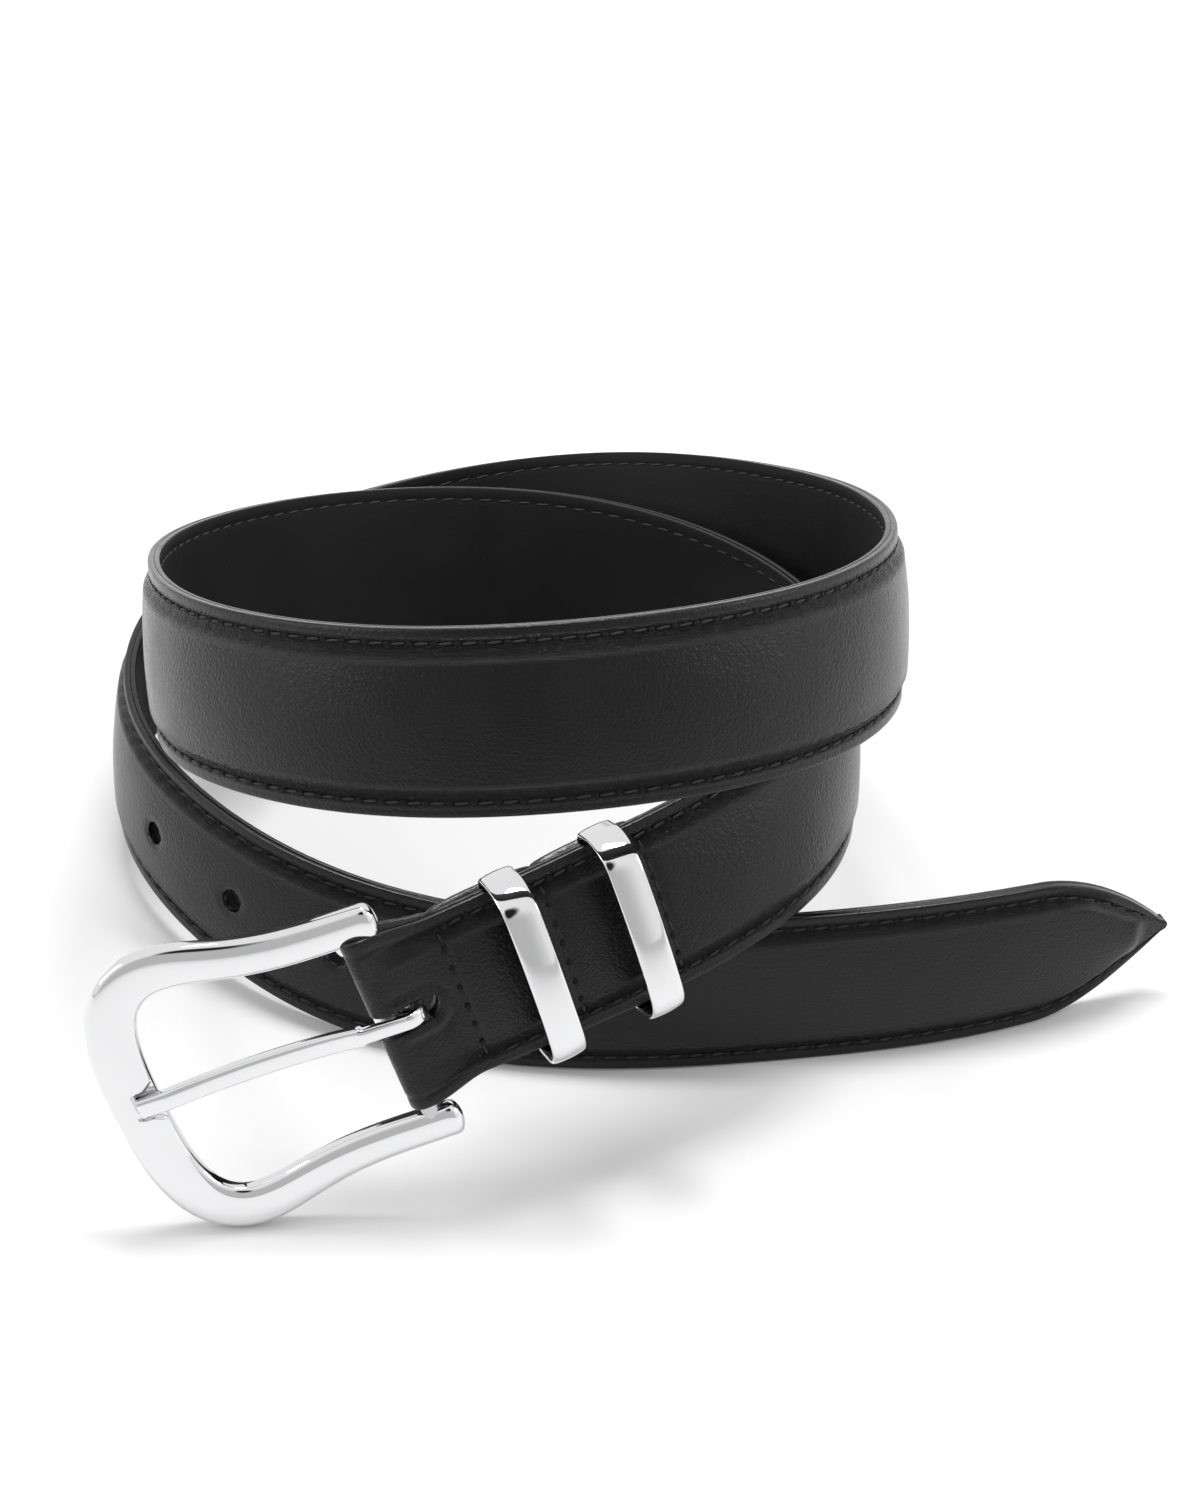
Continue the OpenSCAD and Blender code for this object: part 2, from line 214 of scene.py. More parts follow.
@dataclass(frozen=True)
class LeatherFinish:
    """Dyed leather with a fine grain, and crinkles where it is pulled down beside a seam."""

    name: str
    colour: tuple[float, float, float]
    roughness: float
    shine: float
    grain_mm: float
    grain_depth: float
    crinkle_depth: float = 0.0

    def build(self) -> bpy.types.Material:
        """Makes the material.

        Returns:
            The material.
        """
        n = NodeTree(self.name)
        coords = n.add("ShaderNodeTexCoord")
        place = coords.outputs["Object"]
        per_metre = 1 / (self.grain_mm * MM)
        mottle = n.texture("ShaderNodeTexNoise", place, Scale=70.0, Detail=3.0)
        shade = n.ramp(mottle.outputs["Fac"], low=0.3, high=0.7, to_low=0.0, to_high=1.0)
        tint = n.add("ShaderNodeMix", data_type="RGBA")
        tint.inputs["A"].default_value = (*self.colour, 1)
        tint.inputs["B"].default_value = (*(c * 1.5 for c in self.colour), 1)
        n.join(shade, tint.inputs["Factor"])
        n.join(tint.outputs["Result"], n.shader.inputs["Base Color"])
        rough = n.ramp(mottle.outputs["Fac"], low=0.25, high=0.75,
                       to_low=self.roughness - 0.04, to_high=self.roughness + 0.06)
        n.join(rough, n.shader.inputs["Roughness"])
        warp = n.texture("ShaderNodeTexNoise", place, Scale=per_metre * 0.35, Detail=2.0)
        spread = n.add("ShaderNodeVectorMath", operation="SCALE")
        spread.inputs["Scale"].default_value = self.grain_mm * MM * 1.6
        n.join(warp.outputs["Color"], spread.inputs[0])
        moved = n.add("ShaderNodeVectorMath", operation="ADD")
        n.join(place, moved.inputs[0])
        n.join(spread.outputs[0], moved.inputs[1])
        cells = n.texture("ShaderNodeTexVoronoi", moved.outputs[0], Scale=per_metre)
        fine = n.texture("ShaderNodeTexNoise", place, Scale=per_metre * 0.8, Detail=4.0, Roughness=0.6)
        grain = n.maths("SUBTRACT", fine.outputs["Fac"], n.maths("MULTIPLY", cells.outputs["Distance"], 0.5))
        normal = n.bump(grain, self.grain_depth)
        if self.crinkle_depth:
            normal = self.crinkles(n, coords.outputs["UV"], normal)
        n.join(normal, n.shader.inputs["Normal"])
        n.shader.inputs["Specular IOR Level"].default_value = self.shine
        return n.material

    def crinkles(self, n: NodeTree, uv: bpy.types.NodeSocket,
                 under: bpy.types.NodeSocket) -> bpy.types.NodeSocket:
        """Lays crinkles along both seams over the grain.

        Args:
            n: the material's nodes.
            uv: the strap's own map, its V across the strap in centimetres.
            under: the grain's normal.

        Returns:
            The normal's socket.
        """
        split = n.add("ShaderNodeSeparateXYZ")
        n.join(uv, split.inputs[0])
        from_middle = n.maths("ABSOLUTE", split.outputs["Y"])
        inner = n.ramp(from_middle, low=1.05, high=1.3, to_low=0.0, to_high=1.0)
        outer = n.ramp(from_middle, low=1.5, high=1.62, to_low=1.0, to_high=0.0)
        near_seam = n.maths("MULTIPLY", inner, outer)
        along = n.add("ShaderNodeMapping")
        along.inputs["Scale"].default_value = (1.0, 2.0, 1.0)
        n.join(uv, along.inputs["Vector"])
        folds = n.texture("ShaderNodeTexNoise", along.outputs[0], Scale=9.0, Detail=4.0, Roughness=0.7)
        fold = n.ramp(folds.outputs["Fac"], low=0.35, high=0.65, to_low=0.0, to_high=1.0)
        return n.bump(n.maths("MULTIPLY", near_seam, fold), self.crinkle_depth, under)


@dataclass(frozen=True)
class ThreadFinish:
    """Twisted sewing thread."""

    name: str
    colour: tuple[float, float, float]
    roughness: float

    def build(self) -> bpy.types.Material:
        """Makes the material.

        Returns:
            The material.
        """
        n = NodeTree(self.name)
        place = n.add("ShaderNodeTexCoord").outputs["Object"]
        twist = n.texture("ShaderNodeTexWave", place, Scale=900.0, Distortion=2.0)
        # Painted shade: the thread is darker where the twist's bump is low, in the grooves between its
        # strands
        tint = n.add("ShaderNodeMix", data_type="RGBA")
        tint.inputs["A"].default_value = (*(c * 0.6 for c in self.colour), 1)
        tint.inputs["B"].default_value = (*self.colour, 1)
        n.join(twist.outputs["Fac"], tint.inputs["Factor"])
        n.join(tint.outputs["Result"], n.shader.inputs["Base Color"])
        n.join(n.bump(twist.outputs["Fac"], 0.06), n.shader.inputs["Normal"])
        n.shader.inputs["Roughness"].default_value = self.roughness
        return n.material


@dataclass(frozen=True)
class MetalFinish:
    """Polished or drawn metal, with the faint unevenness that handling leaves."""

    name: str
    colour: tuple[float, float, float]
    roughness: float
    drawn: bool = False

    def build(self) -> bpy.types.Material:
        """Makes the material.

        Returns:
            The material.
        """
        n = NodeTree(self.name)
        place = n.add("ShaderNodeTexCoord").outputs["Object"]
        smear = n.texture("ShaderNodeTexNoise", place, Scale=160.0, Detail=3.0)
        spread = 0.1 if self.drawn else 0.025
        rough = n.ramp(smear.outputs["Fac"], low=0.35, high=0.7,
                       to_low=self.roughness, to_high=self.roughness + spread)
        n.join(rough, n.shader.inputs["Roughness"])
        tint = n.add("ShaderNodeMix", data_type="RGBA")
        tint.inputs["A"].default_value = (*self.colour, 1)
        tint.inputs["B"].default_value = (*(c * 0.97 for c in self.colour), 1)
        n.join(smear.outputs["Fac"], tint.inputs["Factor"])
        n.join(tint.outputs["Result"], n.shader.inputs["Base Color"])
        swirl = n.texture("ShaderNodeTexNoise", place, Scale=900.0 if self.drawn else 120.0, Detail=2.0)
        n.join(n.bump(swirl.outputs["Fac"], 0.05 if self.drawn else 0.004), n.shader.inputs["Normal"])
        n.shader.inputs["Metallic"].default_value = 1.0
        return n.material


CALF = LeatherFinish("glossy_black_calf", (0.003, 0.003, 0.003), 0.2, 0.27, 0.6, 0.14, 0.4)
EDGE_PAINT = LeatherFinish("painted_edge", (0.004, 0.004, 0.004), 0.24, 0.5, 0.9, 0.06)
LINING = LeatherFinish("matt_black_lining", (0.003, 0.003, 0.003), 0.6, 0.18, 0.6, 0.07)
# Partly painted shade: the padding shows down the size holes and is made near-black so that the holes read
# as dark as their shade
PADDING = LeatherFinish("skived_padding", (0.012, 0.011, 0.011), 0.8, 0.2, 1.2, 0.2)
FACE_THREAD = ThreadFinish("waxed_black_thread", (0.005, 0.005, 0.005), 0.6)
# Painted shade: near-black and fully rough, for the discs that stand in for the shade in the needle holes
NEEDLE_HOLE_SHADE = ThreadFinish("needle_hole_shade", (0.001, 0.001, 0.001), 1.0)
BOBBIN_THREAD = ThreadFinish("grey_bobbin_thread", (0.03, 0.03, 0.031), 0.6)
PLATING = MetalFinish("bright_plating", (0.75, 0.75, 0.76), 0.035)
DRAWN_STEEL = MetalFinish("drawn_steel", (0.55, 0.55, 0.56), 0.3, True)


class Finishes:
    """Every finish, each built once."""

    def __init__(self) -> None:
        """Starts with none built."""
        self.made: dict[str, bpy.types.Material] = {}

    def get(self, finish: LeatherFinish | ThreadFinish | MetalFinish) -> bpy.types.Material:
        """Builds a finish the first time it is asked for.

        Args:
            finish: the finish.

        Returns:
            Its material.
        """
        if finish.name not in self.made:
            self.made[finish.name] = finish.build()
        return self.made[finish.name]


# ---------------------------------------------------------------- mesh helpers


Place = Callable[[int, int], Vector]


def loft(rows: int, columns: int, place: Place, ring: bool = False) -> bmesh.types.BMesh:
    """Bends a flat grid into a closed skin, with a closed section of columns at each row.

    Args:
        rows: how many sections there are.
        columns: how many points each section has.
        place: gives the point, in millimetres, of a row and a column.
        ring: whether the last section joins the first; if not, both ends are capped.

    Returns:
        The closed skin, in metres, with its grid kept in a UV map.
    """
    length = rows if ring else rows - 1
    bm = bmesh.new()
    bmesh.ops.create_grid(bm, x_segments=columns, y_segments=length, size=0.5)
    bm.verts.ensure_lookup_table()
    uv = bm.loops.layers.uv.new("strap")
    spots = [(round((v.co.y + 0.5) * length), round((v.co.x + 0.5) * columns)) for v in bm.verts]
    for v in bm.verts:
        row, column = spots[v.index]
        v.co = place(row % rows, column % columns) * MM
    for face in bm.faces:
        face.smooth = True
        for loop in face.loops:
            row, column = spots[loop.vert.index]
            loop[uv].uv = (row, column)
    bmesh.ops.remove_doubles(bm, verts=bm.verts, dist=WELD)
    ends = [e for e in bm.edges if e.is_boundary]
    if ends and not ring:
        bmesh.ops.holes_fill(bm, edges=ends, sides=0)
    bmesh.ops.recalc_face_normals(bm, faces=bm.faces)
    return bm


def finish_mesh(bm: bmesh.types.BMesh, name: str, materials: list[bpy.types.Material],
                sharp_deg: float = 0.0) -> bpy.types.Object:
    """Makes an object of a bmesh.

    Args:
        bm: the bmesh, which is freed.
        name: the piece's name.
        materials: its materials in order.
        sharp_deg: edges that turn more than this stay crisp, or 0 for none.

    Returns:
        The new object, linked to the scene.
    """
    if sharp_deg:
        for edge in bm.edges:
            if len(edge.link_faces) == 2 and edge.calc_face_angle(0) > math.radians(sharp_deg):
                edge.smooth = False
    mesh = bpy.data.meshes.new(name)
    bm.to_mesh(mesh)
    bm.free()
    for material in materials:
        mesh.materials.append(material)
    piece = bpy.data.objects.new(name, mesh)
    bpy.context.scene.collection.objects.link(piece)
    return piece


def pour(bm: bmesh.types.BMesh, part: bmesh.types.BMesh) -> None:
    """Adds one bmesh to another.

    Args:
        bm: the bmesh that grows.
        part: the one that is added, which is freed.
    """
    mesh = bpy.data.meshes.new("part")
    part.to_mesh(mesh)
    part.free()
    bm.from_mesh(mesh)
    bpy.data.meshes.remove(mesh)


def cut_with(piece: bpy.types.Object, cutter: bmesh.types.BMesh) -> None:
    """Cuts a volume out of a piece.

    Args:
        piece: the piece, whose mesh is replaced.
        cutter: the closed volume, which is freed.
    """
    mesh = bpy.data.meshes.new("punch")
    cutter.to_mesh(mesh)
    cutter.free()
    punch = bpy.data.objects.new("punch", mesh)
    bpy.context.scene.collection.objects.link(punch)
    cut = piece.modifiers.new("punched", "BOOLEAN")
    cut.operation = "DIFFERENCE"
    cut.solver = "MANIFOLD"
    cut.object = punch
    graph = bpy.context.evaluated_depsgraph_get()
    result = bpy.data.meshes.new_from_object(piece.evaluated_get(graph))
    piece.modifiers.clear()
    old = piece.data
    result.name = old.name
    piece.data = result
    bpy.data.meshes.remove(old)
    bpy.data.objects.remove(punch)
    bpy.data.meshes.remove(mesh)


def settle(piece: bpy.types.Object, body: Body, slot: Slot, *nodes: str) -> None:
    """Puts a piece on its body and hides the nodes it stands for.

    Args:
        piece: the finished piece.
        body: the body that it rides on.
        slot: the material slot that it would take its finish from; not used.
        nodes: the nodes that it replaces.
    """
    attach(piece, body.value)
    if nodes:
        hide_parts(*nodes)
    log.info("%s: %d faces on %s", piece.name, len(piece.data.polygons), body.value)


# ---------------------------------------------------------------- the strap's route


@dataclass
class Station:
    """Frame of the strap at one length: its middle, along, across (up) and outwards."""

    centre: Vector
    along: Vector
    across: Vector
    out: Vector

    def at(self, along: float, across: float, out: float) -> Vector:
        """Returns the point at these distances, in millimetres."""
        return self.centre + self.along * along + self.across * across + self.out * out


@dataclass
class Route:
    """The strap's middle line from the fold to the tip, in millimetres and degrees of lean."""

    points: tuple[tuple[float, float, float, float], ...] = (
        (-42, -50, 44, -16), (-4, -33, 50, -23), (33, -13, 56, -28), (55, 24, 49, -3),
        (47, 67, 41, 2), (19, 100, 35, 11), (-23, 115, 32, 33), (-63, 100, 40, 30),
        (-90, 67, 55, 11), (-91, 28, 73, -4), (-77, -8, 90, -14), (-42, -34, 103, -23),
        (1, -36, 107, -24), (41, -14, 98, -20), (61, 21, 85, -7), (58, 61, 68, 2),
        (40, 96, 50, 19), (7, 121, 38, 38), (-33, 131, 26, 27), (-75, 119, 21, 15),
        (-105, 86, 25, -7), (-105, 43, 25, -8), (-75, 7, 22, -11), (-41, -8, 16, -18),
        (0, -16, 18, -11), (39, -12, 17, -8), (79, -7, 18, -8), (117, 8, 17, 1))
    stand: tuple[float, float, float] = (-4.95, -37.7, 0.1)
    steps: int = 12
    end_skew: float = 5.0
    skew_fade: float = 50.0
    lengths: list[float] = field(default_factory=list)

    def __post_init__(self) -> None:
        """Measures the route."""
        last = (len(self.points) - 1) * self.steps
        spots = [self.spline(i / self.steps)[0].xyz for i in range(last + 1)]
        self.lengths = [0.0]
        for a, b in zip(spots, spots[1:]):
            self.lengths.append(self.lengths[-1] + (b - a).length)

    @property
    def length(self) -> float:
        """Length of the strap."""
        return self.lengths[-1]

    def control(self, i: int) -> Vector:
        """Picks a control point, carried on straight past both ends.

        Args:
            i: its number, from -1 to one past the last.

        Returns:
            The point, with its lean as a fourth number.
        """
        p = self.points
        if i < 0:
            return 2 * Vector(p[0]) - Vector(p[1])
        if i >= len(p):
            return 2 * Vector(p[-1]) - Vector(p[-2])
        return Vector(p[i])

    def spline(self, u: float) -> tuple[Vector, Vector]:
        """Follows the route's curve.

        Args:
            u: how far along, in control points from the first.

        Returns:
            The point and the slope there.
        """
        k = min(math.floor(u), len(self.points) - 2)
        a, b, c, d = (self.control(k + j) for j in (-1, 0, 1, 2))
        return b_spline(a, b, c, d, u - k)

    def at(self, s: float) -> Station:
        """Finds the strap's frame.

        Args:
            s: length from the fold.

        Returns:
            The frame there.
        """
        s = min(max(s, 0.0), self.length)
        low, high = 0, len(self.lengths) - 1
        while high - low > 1:
            mid = (low + high) // 2
            low, high = (mid, high) if self.lengths[mid] <= s else (low, mid)
        part = (s - self.lengths[low]) / (self.lengths[high] - self.lengths[low])
        here, slope = self.spline((low + part) / self.steps)
        along = slope.xyz.normalized()
        side = along.cross(Vector((0, 0, 1))).normalized()
        lean = math.radians(here.w)
        across = side.cross(along) * math.cos(lean) + side * math.sin(lean)
        skew = math.radians(self.end_skew * (1 - ease(s / self.skew_fade)))
        return Station(
            here.xyz + Vector(self.stand),
            along * math.cos(skew) + across * math.sin(skew),
            across * math.cos(skew) - along * math.sin(skew),
            along.cross(across))


# ---------------------------------------------------------------- the strap


@dataclass
class Strap:
    """Outer leather, lining and seams of the strap, in millimetres."""

    route: Route
    finishes: Finishes
    width: float = 35.0
    face: float = 1.3
    lining: float = 1.2
    rise: float = 1.5
    rise_start: float = 12.0
    rise_fade: float = 8.0
    shoulder_part: float = 0.8
    crown_part: float = 0.4
    crown_inset: float = 5.6
    groove_depth: float = 0.3
    seam_inset: float = 2.8
    pitch: float = 4.37
    tip_taper: float = 30.0
    tip_power: float = 1.9
    tip_half: float = 1.2
    # Half width under which the section's details shrink with the strap
    full_detail: float = 10.0
    nose_r: float = 1.5
    fold_flare: float = 2.1
    flare_fade: float = 14.0
    # Length behind the bar over which the two leaves close
    leaves_close: float = 13.0
    hole_d: float = 5.0
    hole_pitch: float = 25.4
    first_hole: float = 901.0
    holes: int = 5
    cross_seams: tuple[float, float, float] = (17.5, 38.4, 59.4)
    tongue_len: float = 62.0
    tongue_bulge: float = 2.4
    tongue_w: float = 34.0
    bar_s: float = 3.3
    bar_n: float = -0.6
    eye_r: float = 2.5
    slot_w: float = 5.1
    slot_eye: float = 5.6
    slot_end: float = 13.0
    first_stitch: float = 19.0
    # Distances of the columns from the edge, out to where the pad starts to crown
    edge_columns: tuple[float, ...] = (
        0.0, 0.0, 0.08, 0.35, 0.9, 1.6, 2.1, 2.45, 2.8, 3.15, 3.5, 3.9, 4.3, 4.7, 5.1, 5.6, 6.3)
    # Distances of the other columns from the middle line
    middle_columns: tuple[float, ...] = (9.6, 8.1, 6.8, 5.7, 4.9, 4.3, 3.7, 3.1, 2.4, 1.3)

    def half(self, s: float) -> float:
        """Half width at a length: flared at the fold, and run to a rounded point at the tip.

        Args:
            s: length from the fold.

        Returns:
            The half width.
        """
        left = max(0.0, self.route.length - s)
        t = max(0.0, 1 - left / self.tip_taper)
        nose = self.width
        if left < self.nose_r:
            nose = math.sqrt(max(0.01, left * (2 * self.nose_r - left)))
        flare = self.fold_flare * (1 - ease((s - self.bar_s) / self.flare_fade))
        return min(nose, max(self.tip_half, self.width / 2 * (1 - t**self.tip_power) + flare))

    def shrink(self, h: float) -> float:
        """Scale of the section's details where the half width is h."""
        return min(1.0, h / self.full_detail)

    def padding(self, s: float) -> float:
        """Rise of the padded middle, which fades out at the buckle and at the tip."""
        ends = ease((s - self.rise_start) / self.rise_fade)
        return self.rise * ends * ease((self.half(s) - 5.5) / 3)

    def columns(self, h: float) -> list[float]:
        """Places the columns of one half of the section.

        Args:
            h: half width here.

        Returns:
            Their distances across from the middle line, edge first.
        """
        full = self.width / 2
        scale = self.shrink(h)
        inner = self.edge_columns[-1]
        xs = [h - e * scale for e in self.edge_columns]
        left = (h - inner * scale) / (full - inner)
        return xs + [x * left for x in self.middle_columns]

    def relief(self, x: float, h: float, rise: float) -> float:
        """Height of the grain side over the leather's inner side at the margins.

        Args:
            x: distance across from the middle line.
            h: half width here.
            rise: rise of the padding here.

        Returns:
            The height in millimetres.
        """
        scale = self.shrink(h)
        edge = (h - abs(x)) / scale
        top = max(h - self.crown_inset * scale, 0.1)
        shoulder = self.shoulder_part * rise * ease((edge - 3.5) / 2.2)
        crown = self.crown_part * rise * max(0.0, 1 - (x / top) ** 2) if abs(x) < top else 0.0
        groove = -self.groove_depth * bump_at(edge, self.seam_inset, 0.5)
        return self.face + shoulder + crown + groove

    def front_lift(self, s: float) -> float:
        """Lift of the front leaf's inner side as it opens towards the heel bar."""
        open_part = 1 - ease((s - self.bar_s) / self.leaves_close)
        return (self.bar_n + self.eye_r - self.face / 2) * open_part

    def arch(self, x: float) -> float:
        """Height of the tongue's bow between two seams, from 0 to 1."""
        return max(0.0, math.sin(math.pi * x)) ** 0.4

    def tongue_depth(self, s: float) -> float:
        """Depth of the tongue's inner side behind the strap's middle line.

        Args:
            s: length from the fold.

        Returns:
            The depth, which bows out between the cross seams.
        """
        slot, middle, end = self.cross_seams
        if s < slot:
            gap = self.eye_r - self.face / 2 - self.bar_n - self.lining
            return self.lining + gap * (1 - ease((s - self.bar_s) / self.leaves_close))
        if s < middle:
            return self.lining + self.tongue_bulge * self.arch((s - slot) / (middle - slot))
        if s < end:
            return self.lining + self.tongue_bulge * self.arch((s - middle) / (end - middle))
        return self.lining

    def hole_stations(self) -> list[float]:
        """Lengths of the size holes from the fold."""
        return [self.first_hole + i * self.hole_pitch for i in range(self.holes)]

    def front_lengths(self) -> list[float]:
        """Spaces the sections of the front leaf on the stitches' pitch, closer at holes and ends.

        Returns:
            Their lengths from the fold, from the tip back to the heel bar.
        """
        step = self.pitch / 4
        lengths = []
        s = self.first_stitch + step
        while s < self.route.length - 1:
            near_hole = any(abs(s - hole) < 4 for hole in self.hole_stations())
            lengths.append(s)
            if near_hole:
                lengths.append(s + step / 2)
            s += step
        lengths += [self.route.length - x for x in (0.75, 0.5, 0.28, 0.1, 0.0)]
        close = [self.bar_s + 0.6 + 0.55 * i for i in range(28)]
        return sorted(close + [self.first_stitch] + lengths, reverse=True)

    def make_face(self) -> bpy.types.Object:
        """Makes the outer leather: face, turn round the heel bar and tongue, in one skin.

        Returns:
            The piece.
        """
        halves = len(self.edge_columns) + len(self.middle_columns)
        outer = 2 * halves + 1
        rows: list[tuple[str, float]] = [("front", s) for s in self.front_lengths()]
        rows += [("turn", angle) for angle in range(0, 181, 10)]
        slot, middle, end = self.cross_seams
        bows = (0, 0.02, 0.06, 0.13, 0.25, 0.4, 0.6, 0.75, 0.87, 0.94, 0.98)
        back = [4 + 1.0 * i for i in range(13)]
        back += [slot + 0.01 + x * (middle - slot) for x in bows]
        back += [middle + 0.01 + x * (end - middle) for x in bows]
        back += [end + 0.01, end + 1.2, self.tongue_len - 0.3, self.tongue_len]
        rows += [("tongue", s) for s in back]
        grid = [self.face_row(kind, value) for kind, value in rows]
        points = len(grid[0])
        bm = loft(len(rows), points, lambda r, c: grid[r][c][0])
        uv = bm.loops.layers.uv["strap"]
        for face in bm.faces:
            columns = [round(loop[uv].uv.y) for loop in face.loops]
            if min(columns) >= outer - 2 or max(columns) <= 2:
                face.material_index = 1
            for loop in face.loops:
                row = min(round(loop[uv].uv.x), len(rows) - 1)
                _, measure, across = grid[row][round(loop[uv].uv.y) % points]
                loop[uv].uv = (measure / 10, across / 10)
        finishes = [self.finishes.get(CALF), self.finishes.get(EDGE_PAINT)]
        piece = finish_mesh(bm, "outer_leather", finishes)
        cut_with(piece, self.punch(slot_too=True))
        return piece

    def face_row(self, kind: str, value: float) -> list[tuple[Vector, float, float]]:
        """Works out one closed section of the outer leather.

        Args:
            kind: front, turn or tongue.
            value: the length along the strap, or the turn's angle in degrees.

        Returns:
            For each point of the section, its place and its length and distance across.
        """
        if kind == "turn":
            f = self.route.at(self.bar_s)
            angle = math.radians(value)
            out = f.out * math.cos(angle) - f.along * math.sin(angle)
            base = f.at(0, 0, self.bar_n) + out * (self.eye_r - self.face / 2)
            s, h, rise, measure = self.bar_s, self.half(0), 0.0, -value / 20
        elif kind == "tongue":
            f = self.route.at(value)
            out = -f.out
            base = f.at(0, 0, -self.tongue_depth(value))
            h = self.tongue_w / 2 if value > self.cross_seams[0] else self.half(value)
            s, rise, measure = value, 0.0, -9 - value
        else:
            f = self.route.at(value)
            out = f.out
            h, rise = self.half(value), self.padding(value)
            base = f.at(0, 0, self.front_lift(value))
            s, measure = value, value
        ups = self.columns(h)
        across = ups + [0.0] + [-x for x in reversed(ups)]
        section: list[tuple[Vector, float, float]] = []
        last = len(across) - 1
        for i, x in enumerate(across):
            from_edge = min(i, last - i)
            y = self.relief(x, h, rise)
            if kind == "turn":
                y = self.face - 0.12 * bump_at(h - abs(x), self.seam_inset, 0.6)
            if from_edge < 4:
                y = (0.0, self.face - 0.42, self.face - 0.16, self.face - 0.03)[from_edge]
            elif kind == "front":
                y += self.details(s, x, h)
            section.append((base + f.across * x + out * y, measure, x))
        scale = self.shrink(h)
        foot, top = h - 4 * scale, h - self.crown_inset * scale
        low, high = self.shoulder_part * rise, 1.2 * rise
        clear, map_edge = 0.01, 1.75
        for x, y in ((-foot, 0.0), (-top, low), (0.0, high), (top, low), (foot, 0.0)):
            spot = base + f.across * x + out * (y + clear)
            section.append((spot, measure, map_edge if x > 0 else -map_edge))
        return section

    def details(self, s: float, x: float, h: float) -> float:
        """Small hollows and swellings of the face.

        Args:
            s: length along the strap.
            x: distance across.
            h: half width here.

        Returns:
            The extra height in millimetres: needle pits, puckers, hole rims and the slot's lip.
        """
        extra = 0.0
        edge = h - abs(x)
        if h > 10:
            beat = (s - self.first_stitch) / self.pitch
            near = abs(beat - round(beat)) * self.pitch
            if s > self.first_stitch - 1:
                extra -= 0.4 * bump_at(near, 0, 0.75) * bump_at(edge, self.seam_inset, 0.3)
                wander = 0.8 * noise.noise(Vector((s * 0.45, x * 0.3, 3.0)))
                pucker = 0.1 * math.cos(2 * math.pi * beat + wander) + 0.09 * wander
                extra += pucker * bump_at(edge, 4.4, 0.75)
            extra += 0.05 * noise.noise(Vector((s * 0.12, x * 0.16, 0.0))) * ease(edge / 6)
        for hole in self.hole_stations():
            if abs(s - hole) < 6 and abs(x) < 6:
                extra -= 0.32 * bump_at(math.hypot(s - hole, x), self.hole_d / 2, 0.8)
        for seam in self.cross_seams:
            if abs(s - seam) < 3:
                extra -= 0.22 * bump_at(s, seam, 0.55) * ease((edge - 2.2) / 1.5)
                extra -= 0.2 * bump_at(s, seam, 1.6) * ease((edge - 2.2) / 2)
        if s < self.slot_end + 7:
            bend = self.slot_end - self.slot_eye / 2
            reach = abs(x) if s < bend else math.hypot(s - bend, x)
            fade = ease((s - self.bar_s - 0.3) / 2)
            extra += fade * (0.42 * bump_at(reach, 3.8, 0.6) - 0.22 * bump_at(reach, 5.2, 0.7))
        return extra

    def punch(self, slot_too: bool = False) -> bmesh.types.BMesh:
        """Makes the punches for the holes.

        Args:
            slot_too: whether the prong slot is punched as well as the size holes.

        Returns:
            All the punches in one mesh.
        """
        bm = bmesh.new()
        for s in self.hole_stations():
            self.add_rod(bm, self.route.at(s), self.hole_d / 2, 12)
        if slot_too:
            bend = self.slot_end - self.slot_eye / 2
            f = self.route.at(self.bar_s)
            rod = Station(f.at(bend - self.bar_s, 0, 0), f.along, f.across, f.out)
            self.add_rod(bm, rod, self.slot_eye / 2, 14)
            past_bar = 8
            box = Matrix.Translation(f.at(-past_bar, 0, 0) * MM) @ self.turned(f)
            reach = bend - self.bar_s + past_bar
            made = bmesh.ops.create_cube(bm, size=1.0)
            size = Matrix.Diagonal((reach * MM, self.slot_w * MM, 13 * MM, 1))
            shift = Matrix.Translation((reach / 2 * MM, 0, 0))
            bmesh.ops.transform(bm, matrix=box @ shift @ size, verts=made["verts"])
        bmesh.ops.recalc_face_normals(bm, faces=bm.faces)
        return bm

    def turned(self, f: Station) -> Matrix:
        """Returns the rotation of a frame: X along, Y across and Z outwards."""
        return Matrix((f.along, f.across, f.out)).transposed().to_4x4()

    def add_rod(self, bm: bmesh.types.BMesh, f: Station, r: float, length: float) -> None:
        """Adds a round punch through a frame's middle, square to the leather.

        Args:
            bm: the mesh to add to.
            f: the frame.
            r: the punch's radius.
            length: its length.
        """
        bmesh.ops.create_cone(bm, cap_ends=True, cap_tris=False, segments=40, radius1=r * MM,
                              radius2=r * MM, depth=length * MM,
                              matrix=Matrix.Translation(f.centre * MM) @ self.turned(f))

    def make_lining(self) -> bpy.types.Object:
        """Makes the lining leather.

        Returns:
            The piece.
        """
        lengths = [16.0]
        while lengths[-1] < self.route.length - 4:
            near_tip = lengths[-1] > self.route.length - self.tip_taper
            lengths.append(lengths[-1] + (1.1 if near_tip else 2.8))
        lengths += [self.route.length - x for x in (2.8, 1.7, 1.1, 0.75, 0.5, 0.28, 0.1, 0.0)]

